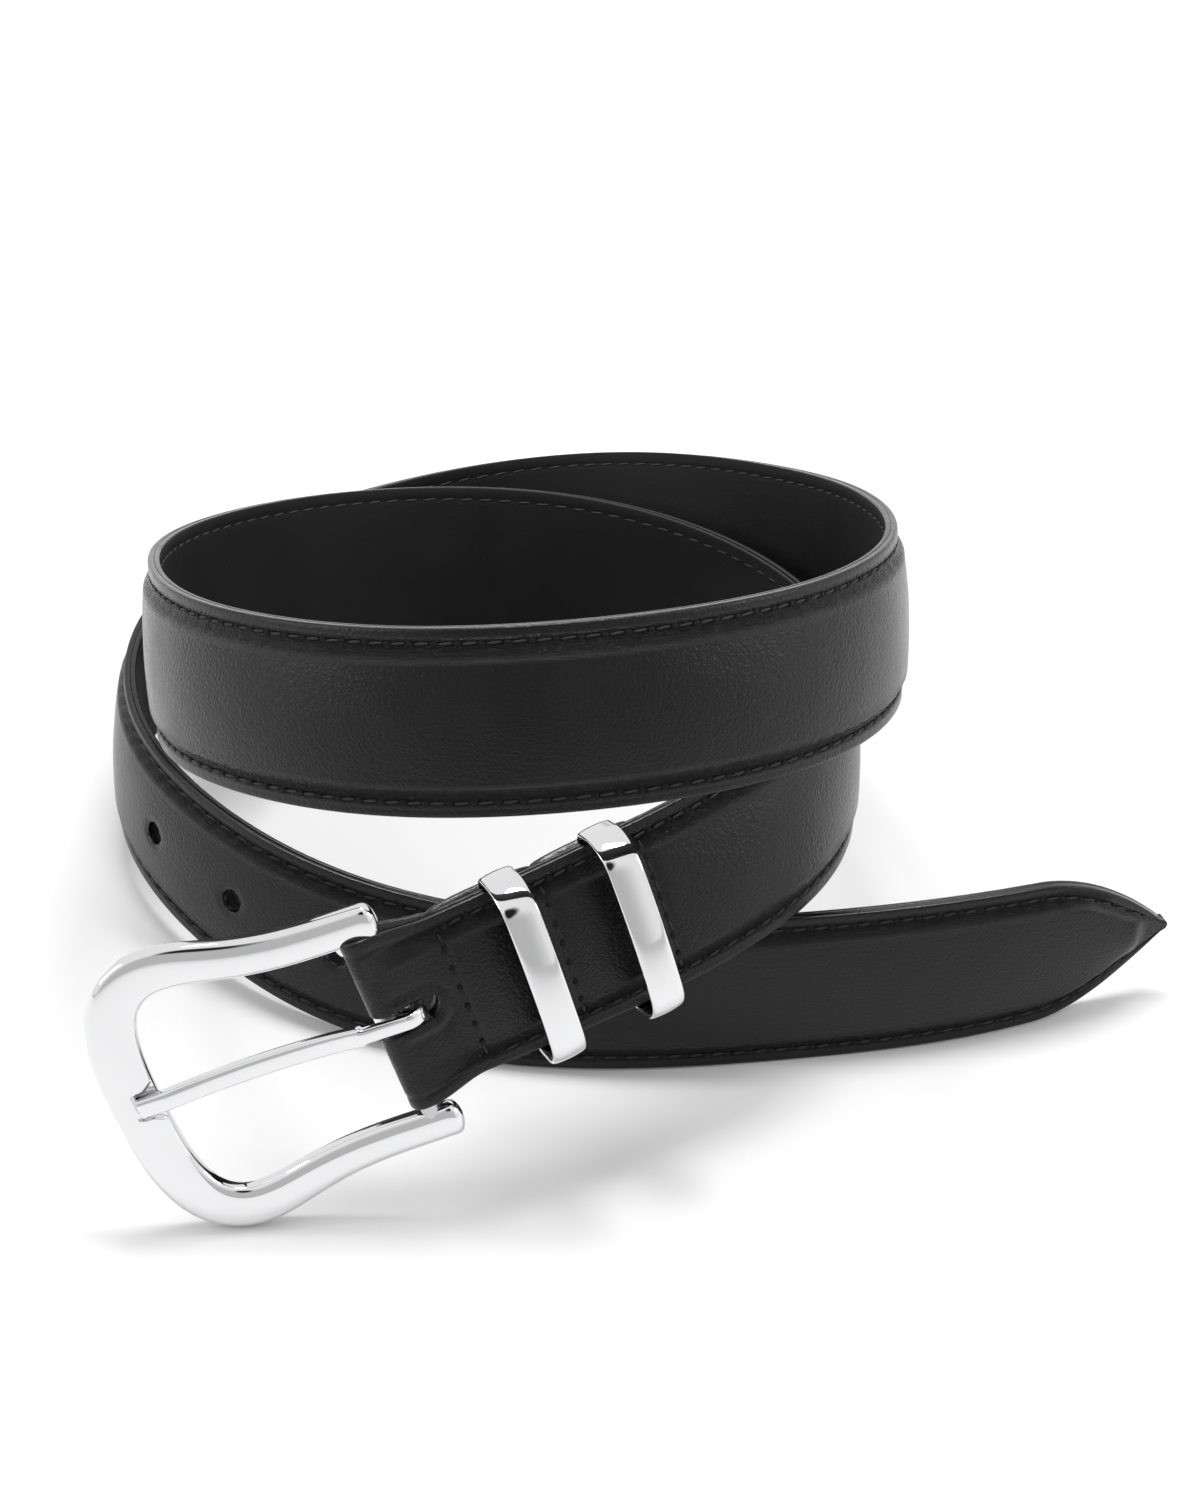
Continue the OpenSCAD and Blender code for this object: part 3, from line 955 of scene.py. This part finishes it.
        def section(s: float) -> list[Vector]:
            """Works out one closed section of the lining.

            Args:
                s: length from the fold.

            Returns:
                Its points.
            """
            h, f = self.half(s), self.route.at(s)
            k = self.shrink(h)
            low = -self.lining
            side = [(h, -0.1), (h, -0.5), (h, low + 0.42), (h - 0.1 * k, low + 0.14),
                    (h - 0.42 * k, low), (h - 1.8 * k, low), (h - 2.4 * k, low + 0.04),
                    (h - 2.8 * k, low + 0.16), (h - 3.2 * k, low + 0.04), (h - 3.9 * k, low)]
            flat = [(x * h / 17.5, low) for x in (10, 6, 3, 0, -3, -6, -10)]
            other = [(-x, y) for x, y in reversed(side)]
            top = [(x * h / 17.5, -0.1) for x in (-12, -4, 4, 12)]
            return [f.at(0, x, y) for x, y in side + flat + other + top]

        grid = [section(s) for s in lengths]
        bm = loft(len(lengths), len(grid[0]), lambda r, c: grid[r][c])
        uv = bm.loops.layers.uv["strap"]
        for face in bm.faces:
            columns = [loop[uv].uv.y for loop in face.loops]
            if max(columns) <= 3 or (min(columns) >= 23 and max(columns) <= 27):
                face.material_index = 1
        finishes = [self.finishes.get(LINING), self.finishes.get(EDGE_PAINT)]
        piece = finish_mesh(bm, "lining_leather", finishes)
        cut_with(piece, self.punch())
        return piece

    def margin_run(self, start: float, level: float) -> list[tuple[Vector, Vector]]:
        """Follows the seam along the upper margin, round the tip and back along the lower one.

        Args:
            start: length from the fold where the seam starts and ends.
            level: height outwards from the strap's middle line.

        Returns:
            Points about 0.3 mm apart, each with the outward direction.
        """
        end = self.route.length - 5.2
        count = round((end - start) / 0.3)
        lengths = [start + (end - start) * i / count for i in range(count + 1)]
        run = []
        for way, order in ((1, lengths), (-1, list(reversed(lengths)))):
            for s in order:
                f = self.route.at(s)
                h = self.half(s)
                x = way * max(0.05, h - self.seam_inset * max(0.75, self.shrink(h)))
                run.append((f.at(0, x, level), f.out))
        return run

    def sew(self, bm: bmesh.types.BMesh, run: list[tuple[Vector, Vector]], pitch: float,
            size: tuple[float, float, float], dip: float, pits: bool = True) -> None:
        """Sews separate stitches along a run, with a near-black disc of painted shade at each end where the
        needle hole is.

        Args:
            bm: the mesh to add to.
            run: close points along the seam, each with its outward direction.
            pitch: distance between needle holes.
            size: half length, half width and half height of a stitch.
            dip: how far the needle holes' painted shade lies under the stitches' middle line.
            pits: whether the needle holes' painted shade shows.
        """
        walked = 0.0
        marks = [run[0]]
        for (a, _), (b, out) in zip(run, run[1:]):
            walked += (b - a).length
            if walked >= pitch * len(marks):
                marks.append((b, out))
        pairs = list(zip(marks, marks[1:]))
        for i in range(0, len(pairs), 12):
            pour(bm, self.stitches(pairs[i:i + 12], size, dip, pits))

    def stitches(self, pairs: list[tuple[tuple[Vector, Vector], tuple[Vector, Vector]]],
                 size: tuple[float, float, float], dip: float, pits: bool) -> bmesh.types.BMesh:
        """Makes a few stitches between neighbouring needle holes.

        Args:
            pairs: the two ends of each stitch, each with its outward direction.
            size: half length, half width and half height of a stitch.
            dip: how far the needle holes' painted shade lies under the stitches' middle line.
            pits: whether the needle holes' painted shade shows.

        Returns:
            The stitches in one mesh.
        """
        bm = bmesh.new()
        for (a, out), (b, _) in pairs:
            along = (b - a).normalized()
            side = out.cross(along).normalized()
            up = along.cross(side)
            slant = Euler((0, 0, math.radians(5))).to_matrix().to_4x4()
            pose = Matrix((along, side, up)).transposed().to_4x4()
            shape = Matrix.Diagonal((size[0] * MM, size[1] * MM, size[2] * MM, 1))
            bmesh.ops.create_uvsphere(bm, u_segments=8, v_segments=6, radius=1.0, matrix=(
                Matrix.Translation((a + b) / 2 * MM) @ pose @ slant @ shape))
            # Painted shade: a flat near-black disc at each needle hole stands in for the shade down the hole
            if pits:
                hole_shade = Matrix.Diagonal((0.72 * MM, 0.62 * MM, 0.2 * MM, 1))
                made = bmesh.ops.create_uvsphere(bm, u_segments=8, v_segments=4, radius=1.0, matrix=(
                    Matrix.Translation((a - out * dip) * MM) @ pose @ hole_shade))
                for v in made["verts"]:
                    for face in v.link_faces:
                        face.material_index = 1
        for face in bm.faces:
            face.smooth = True
        return bm

    def make_edge_seam(self) -> bpy.types.Object:
        """Makes the face side of the seam round the strap.

        Returns:
            The piece.
        """
        bm = bmesh.new()
        run = self.margin_run(self.first_stitch, self.face - 0.14)
        self.sew(bm, run, self.pitch, (1.5, 0.3, 0.22), 0.08)
        finishes = [self.finishes.get(FACE_THREAD), self.finishes.get(NEEDLE_HOLE_SHADE)]
        return finish_mesh(bm, "edge_stitches", finishes)

    def make_bobbin_seam(self) -> bpy.types.Object:
        """Makes the lining side of the same seam.

        Returns:
            The piece.
        """
        bm = bmesh.new()
        run = [(p, -out) for p, out in self.margin_run(self.tongue_len + 2, -self.lining + 0.02)]
        self.sew(bm, run, self.pitch, (1.55, 0.18, 0.15), 0.1, pits=False)
        return finish_mesh(bm, "bobbin_stitches", [self.finishes.get(BOBBIN_THREAD)])

    def make_cross_seam(self, s: float, name: str) -> bpy.types.Object:
        """Makes a seam across the strap, on the face and on the tongue behind.

        Args:
            s: the seam's length from the fold.
            name: the piece's name.

        Returns:
            The piece.
        """
        bm = bmesh.new()
        f, h = self.route.at(s), self.width / 2
        reach = h - self.seam_inset
        steps, stitches = 90, 7
        front, back = [], []
        for i in range(steps + 1):
            x = reach - 2 * reach * i / steps
            y = self.relief(x, h, self.padding(s)) - 0.3 * ease((h - abs(x) - 2.2) / 1.5)
            front.append((f.at(0, x, y), f.out))
            back.append((f.at(0, x, -self.tongue_depth(s) - self.face - 0.02), -f.out))
        length = sum((b[0] - a[0]).length for a, b in zip(front, front[1:]))
        self.sew(bm, front, length / stitches - 0.01, (1.4, 0.3, 0.22), -0.08)
        self.sew(bm, back, 2 * reach / stitches - 0.01, (1.7, 0.32, 0.25), 0.05)
        finishes = [self.finishes.get(FACE_THREAD), self.finishes.get(NEEDLE_HOLE_SHADE)]
        return finish_mesh(bm, name, finishes)

    def build(self) -> None:
        """Makes and dresses every piece of the strap."""
        settle(self.make_face(), Body.STRAP, Slot.FACE, "strap_face")
        settle(self.make_lining(), Body.STRAP, Slot.LINING, "strap_lining")
        settle(self.make_edge_seam(), Body.STRAP, Slot.THREAD, "edge_thread_face")
        settle(self.make_bobbin_seam(), Body.STRAP, Slot.BOBBIN, "edge_thread_back")
        for s, name in zip(self.cross_seams, ("slot", "middle", "tongue")):
            seam = self.make_cross_seam(s, f"cross_stitches_{name}")
            settle(seam, Body.STRAP, Slot.THREAD, f"cross_thread_{name}")
        dress_node("strap_filler", self.finishes.get(PADDING))


def dress_node(node: str, material: bpy.types.Material) -> None:
    """Gives a node that is kept as it is its finish.

    Args:
        node: the node's name.
        material: the finish's material.
    """
    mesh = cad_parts[node].data
    mesh.materials.clear()
    mesh.materials.append(material)
    log.info("%s: kept with %s", node, material.name)


# ---------------------------------------------------------------- the buckle


@dataclass
class Buckle:
    """Horseshoe frame, heel bar and prong, in millimetres from the heel bar."""

    strap: Strap
    finishes: Finishes
    pitch_deg: float = 17.0
    drop: float = 1.8
    thickness: float = 4.2
    prong_w: float = 4.2
    prong_t: float = 2.6
    neck_w: float = 3.1
    neck_reach: float = 3.4
    shoulder_x: float = 4.8
    bar_r: float = 1.75
    # Centre line forwards from the heel bar: distance, half spacing, half width
    outline: tuple[tuple[float, float, float], ...] = (
        (-5.5, 23.4, 3.6), (4, 23.4, 3.7), (14, 23.6, 3.8), (24, 25.2, 4), (33, 28, 4.3),
        (41, 28.4, 4.6), (47.5, 23.5, 4.8), (50.4, 14, 4.9), (50.8, 5, 4.9))
    prong_line: tuple[tuple[float, float], ...] = (
        (4.1, 2.9), (8, 2), (14, 1.2), (22, 0.8), (30, 0.8), (38, 1.3), (44, 2.1), (50, 2.5))

    def axes(self) -> Station:
        """Finds the frame of the buckle, with its middle on the heel bar.

        Returns:
            The frame: along is forwards, across is down the strap, and out is out of its face.
        """
        f = self.strap.route.at(self.strap.bar_s)
        p = math.radians(-self.pitch_deg)
        return Station(
            f.at(0, 0, self.strap.bar_n),
            -f.along * math.cos(p) + f.out * math.sin(p),
            -f.across,
            f.out * math.cos(p) + f.along * math.sin(p))

    def spline(self, points: list[Vector], u: float) -> tuple[Vector, Vector]:
        """Follows the curve of a list of points, carried on straight past both ends.

        Args:
            points: the control points.
            u: how far along, in control points from the first.

        Returns:
            The point and the slope there.
        """
        k = min(math.floor(u), len(points) - 2)
        first, last = 2 * points[0] - points[1], 2 * points[-1] - points[-2]
        a, b, c, d = [first, *points, last][k:k + 4]
        return b_spline(a, b, c, d, u - k)

    def make_frame(self) -> bpy.types.Object:
        """Makes the horseshoe frame, with a scooped notch for the prong.

        Returns:
            The piece.
        """
        b = self.axes()
        upper = [Vector((x, -y, w)) for x, y, w in self.outline]
        lower = [Vector((x, y, w)) for x, y, w in reversed(self.outline)]
        points = upper + lower
        last = len(points) - 1
        cap = 0.21
        ends = [0.0, 0.008, 0.03, 0.07, 0.13, cap]
        body = [cap + (last - 2 * cap) * (i / 150) for i in range(1, 150)]
        middle = last / 2
        fine = [middle - 1.2 + 2.4 * i / 70 for i in range(71)]
        body = [u for u in body if abs(u - middle) > 1.21] + fine
        us = sorted(ends + body + [last - u for u in ends])
        sides = 96

        def place(row: int, column: int) -> Vector:
            """Places one point of the frame, which has rounded ends and a fuller face.

            Args:
                row: number of the section.
                column: number of the point in it.

            Returns:
                The point.
            """
            u = us[row]
            c, slope = self.spline(points, u)
            t = Vector((slope.x, slope.y)).normalized()
            from_end = min(u, last - u)
            scale = math.sqrt(1 - (1 - min(1.0, from_end / cap)) ** 2)
            scale = max(scale, 0.12)
            broad = ease((c.x - 26) / 18)
            angle = 2 * math.pi * column / sides
            cos, sin = math.cos(angle), math.sin(angle)
            power = 2 / (2.3 + 0.7 * broad) if sin > 0 else 2 / 3.6
            x = squared(cos, power) * c.z * scale
            y = squared(sin, power) * self.thickness / 2 * scale
            px, py = c.x + t.y * x, c.y - t.x * x + self.drop
            return b.at(px, py, self.notched(px, py, y))

        bm = loft(len(us), sides, place)
        return finish_mesh(bm, "buckle_horseshoe", [self.finishes.get(PLATING)], 62)

    def notched(self, x: float, y: float, z: float) -> float:
        """Lowers the front of the frame where the prong's tip rests in it.

        Args:
            x, y: the point in the buckle's plane.
            z: its height.

        Returns:
            The height with the notch cut.
        """
        floor, end = 1.0, 50.6
        if x > end + 1.2 or z < floor or x < 40:
            return z
        flare = 2.55 + 2.6 * ease((49 - x) / 4.5)
        beside = max(0.0, abs(y) - flare)
        beyond = max(0.0, x - end)
        return min(z, floor + 3.2 * beside + 5 * beyond)

    def make_prong(self) -> bpy.types.Object:
        """Makes the prong: a curl round the heel bar, a short neck and a squared shank.

        Returns:
            The piece.
        """
        b = self.axes()
        line = [Vector((x, z, 0)) for x, z in self.prong_line]
        last = len(line) - 1
        inner = self.bar_r + 0.1
        neck_half = 0.95
        r = inner + neck_half + 0.05
        rows: list[tuple[Vector, Vector, float, float]] = []
        curl_start, curl_step, curl_rows = 330, 9.2, 27
        for i in range(curl_rows):
            angle = math.radians(curl_start - curl_step * i)
            back = self.neck_reach if math.cos(angle) < 0 else 0.0
            centre = Vector((r * math.cos(angle) - back, r * math.sin(angle), 0))
            ahead = Vector((math.sin(angle), -math.cos(angle), 0))
            rows.append((centre, ahead, neck_half, self.neck_w / 2))
        steps = 60
        for i in range(2, steps + 1):
            u = last * i / steps
            here, slope = self.spline(line, u)
            shoulder = ease((here.x - self.shoulder_x) / 0.9)
            half = neck_half + (self.prong_t / 2 - neck_half) * shoulder
            wide = self.neck_w / 2 + (self.prong_w / 2 - self.neck_w / 2) * shoulder
            tip = ease((u - last * 0.86) / (last * 0.14))
            thin, narrow = 1 - 0.28 * tip, 1 - 0.05 * tip
            rows.append((here, slope.normalized(), half * thin, wide * narrow))
        sides = 32
        caps = (0.55, 0.86)
        first, final = rows[0], rows[-1]
        rows = [(first[0], first[1], first[2] * k, first[3] * k) for k in caps] + rows
        end = final[0] + final[1] * 0.12
        rows += [(end, final[1], final[2] * k, final[3] * k) for k in reversed(caps)]

        def place(row: int, column: int) -> Vector:
            """Places one point of the prong's squared section.

            Args:
                row: number of the section.
                column: number of the point in it.

            Returns:
                The point.
            """
            centre, along, half, wide = rows[row]
            angle = 2 * math.pi * column / sides
            cos, sin = math.cos(angle), math.sin(angle)
            power = 2 / 3.4
            y = squared(cos, power) * wide
            z = squared(sin, power) * half
            up = Vector((-along.y, along.x, 0))
            spot = centre + up * z
            return b.at(spot.x, y, spot.y)

        bm = loft(len(rows), sides, place)
        return finish_mesh(bm, "prong_polished", [self.finishes.get(PLATING)], 50)

    def build(self) -> None:
        """Makes and dresses every piece of the buckle."""
        settle(self.make_frame(), Body.BUCKLE, Slot.PLATED, "buckle_frame")
        settle(self.make_prong(), Body.PRONG, Slot.PLATED, "prong")
        dress_node("heel_bar", self.finishes.get(DRAWN_STEEL))


@dataclass
class Keeper:
    """Sliding metal loop round the strap, in millimetres."""

    strap: Strap
    finishes: Finishes
    station: float
    body: Body
    band_w: float = 6.8
    band_t: float = 1.0
    depth: float = 10.4
    side_gap: float = 1.0
    gap: float = 0.5
    front_r: float = 6.5
    back_r: float = 2.4
    bow: float = 1.5
    dome: float = 0.3

    def outline(self) -> list[tuple[Vector, Vector]]:
        """Goes once round the loop's outer side.

        Returns:
            Points as across and out from the loop's back side, each with its outward direction.
        """
        w = self.strap.width / 2 + self.side_gap + self.band_t
        d = self.depth + 2 * self.band_t
        front, back = self.front_r, self.back_r
        corners = [((w - back, back), back, 270), ((w - front, d - front), front, 0),
                   ((front - w, d - front), front, 90), ((back - w, back), back, 180)]
        loop: list[tuple[Vector, Vector]] = []
        for index, ((x, y), r, start) in enumerate(corners):
            for i in range(13):
                angle = math.radians(start + 90 * i / 12)
                out = Vector((math.cos(angle), math.sin(angle)))
                loop.append((Vector((x, y)) + out * r, out))
            ahead = corners[(index + 1) % 4]
            close = math.radians(ahead[2])
            end = Vector(ahead[0]) + Vector((math.cos(close), math.sin(close))) * ahead[1]
            start_at = loop[-1][0]
            for i in range(1, 12):
                loop.append((start_at.lerp(end, i / 12), loop[-1][1]))
        bowed = []
        for p, out in loop:
            part = ease((p.y - self.front_r) / (d - self.front_r)) if p.y > self.front_r else 0.0
            swell = self.bow * part * (1 - (p.x / w) ** 2)
            bowed.append((Vector((p.x, p.y + swell)), out))
        return bowed

    def build(self) -> None:
        """Makes and dresses the loop."""
        f = self.strap.route.at(self.station)
        back = -self.strap.lining - self.gap - self.band_t
        loop = self.outline()
        half_w, t = self.band_w / 2, self.band_t
        edge = 0.28
        across = [(-half_w, -t + edge), (-half_w, -edge), (-half_w + 0.09, -0.09), (-half_w + edge, 0.0)]
        across += [(x * half_w, self.dome * (1 - x * x)) for x in (-0.75, -0.5, -0.25, 0, 0.25, 0.5, 0.75)]
        across += [(-a, n) for a, n in reversed(across[:4])]
        across += [(half_w - edge, -t), (0.0, -t), (-half_w + edge, -t)]

        def place(row: int, column: int) -> Vector:
            """Places one point of the band.

            Args:
                row: number of the section round the loop.
                column: number of the point in it.

            Returns:
                The point.
            """
            p, out = loop[row]
            a, n = across[column]
            spot = p + out * n
            return f.at(a, spot.x, back + spot.y)

        bm = loft(len(loop), len(across), place, ring=True)
        name = f"{self.body.value}_polished"
        piece = finish_mesh(bm, name, [self.finishes.get(PLATING)], 55)
        settle(piece, self.body, Slot.PLATED, self.body.value)


# ---------------------------------------------------------------- studio


@dataclass
class Studio:
    """Pale floor, soft lights and the camera, in metres and watts."""

    lens: float = 70.45
    distance: float = 0.569
    elevation: float = 39.8
    look_at: tuple[float, float, float] = (-0.00495, -0.0377, 0.0698)

    def floor(self) -> None:
        """Lays the floor."""
        bm = bmesh.new()
        bmesh.ops.create_grid(bm, x_segments=1, y_segments=1, size=3.0)
        n = NodeTree("pale_floor")
        n.shader.inputs["Base Color"].default_value = (0.68, 0.68, 0.68, 1)
        n.shader.inputs["Roughness"].default_value = 0.7
        n.shader.inputs["Specular IOR Level"].default_value = 0.2
        finish_mesh(bm, "floor", [n.material])

    def softbox(self, name: str, place: tuple[float, float, float], size: tuple[float, float],
                power: float) -> None:
        """Hangs a soft light that faces the belt.

        Args:
            name: the light's name.
            place: where it hangs.
            size: its width and height.
            power: its power.
        """
        light = bpy.data.lights.new(name, "AREA")
        light.shape = "RECTANGLE"
        light.size, light.size_y = size
        light.energy = power
        lamp = bpy.data.objects.new(name, light)
        lamp.location = place
        aim = Vector(self.look_at) - Vector(place)
        lamp.rotation_euler = aim.to_track_quat("-Z", "Y").to_euler()
        bpy.context.scene.collection.objects.link(lamp)

    def surround(self) -> None:
        """Gives the room its light: pale all round, with a dark patch high in front."""
        world = bpy.data.worlds.new("studio")
        bpy.context.scene.world = world
        world.use_nodes = True
        tree = world.node_tree
        back = tree.nodes["Background"]
        coords = tree.nodes.new("ShaderNodeTexCoord")

        def spot(direction: tuple[float, float, float], wide: float,
                 soft: float) -> bpy.types.NodeSocket:
            """Makes a round patch of the room.

            Args:
                direction: where the patch's middle is.
                wide: radius in degrees within which the patch is full.
                soft: degrees over which it fades out.

            Returns:
                The socket, 1 in the patch and 0 outside it.
            """
            dot = tree.nodes.new("ShaderNodeVectorMath")
            dot.operation = "DOT_PRODUCT"
            dot.inputs[1].default_value = Vector(direction).normalized()
            tree.links.new(coords.outputs["Generated"], dot.inputs[0])
            node = tree.nodes.new("ShaderNodeMapRange")
            node.interpolation_type = "SMOOTHSTEP"
            node.inputs["From Min"].default_value = math.cos(math.radians(wide + soft))
            node.inputs["From Max"].default_value = math.cos(math.radians(wide))
            tree.links.new(dot.outputs["Value"], node.inputs["Value"])
            return node.outputs["Result"]

        def blend(factor: bpy.types.NodeSocket, under: bpy.types.NodeSocket | float,
                  level: float) -> bpy.types.NodeSocket:
            """Lays a grey level over what is under it.

            Args:
                factor: the patch's socket.
                under: the level or the socket under it.
                level: the level laid over it.

            Returns:
                The blended colour's socket.
            """
            mix = tree.nodes.new("ShaderNodeMix")
            mix.data_type = "RGBA"
            if isinstance(under, float):
                mix.inputs["A"].default_value = (under, under, under, 1)
            else:
                tree.links.new(under, mix.inputs["A"])
            mix.inputs["B"].default_value = (level, level, level, 1)
            tree.links.new(factor, mix.inputs["Factor"])
            return mix.outputs["Result"]

        walls = blend(spot((0, -1, 0.1), 30, 25), 1.0, 0.6)
        room = blend(spot((0.05, -0.62, 0.75), 9, 9), walls, 0.02)
        tree.links.new(room, back.inputs["Color"])
        back.inputs["Strength"].default_value = 1.0

    def camera(self) -> None:
        """Sets the camera."""
        data = bpy.data.cameras.new("camera")
        data.lens = self.lens
        data.sensor_width = 36
        data.clip_start = 0.01
        rise = math.radians(self.elevation)
        camera = bpy.data.objects.new("camera", data)
        target = Vector(self.look_at)
        camera.location = target + self.distance * Vector((0, -math.cos(rise), math.sin(rise)))
        camera.rotation_euler = (math.pi / 2 - rise, 0, 0)
        bpy.context.scene.collection.objects.link(camera)
        bpy.context.scene.camera = camera

    def build(self) -> None:
        """Sets up the whole studio."""
        self.floor()
        self.surround()
        self.softbox("left_box", (-0.9, -0.25, 0.45), (0.3, 0.5), 2)
        self.softbox("right_box", (0.95, -0.15, 0.45), (0.3, 0.5), 2)
        self.softbox("overhead_strip", (0.05, 0.17, 1.0), (0.55, 0.16), 9)
        self.camera()
        bpy.context.scene.view_settings.view_transform = "Standard"


def main() -> None:
    """Builds the belt and its studio."""
    logging.basicConfig(level=logging.INFO, format="%(name)s: %(message)s")
    finishes = Finishes()
    strap = Strap(Route(), finishes)
    strap.build()
    Buckle(strap, finishes).build()
    Keeper(strap, finishes, 31.5, Body.KEEPER_FRONT).build()
    Keeper(strap, finishes, 52.3, Body.KEEPER_REAR).build()
    Studio().build()
    bpy.context.view_layer.update()


if __name__ == "__main__":
    main()
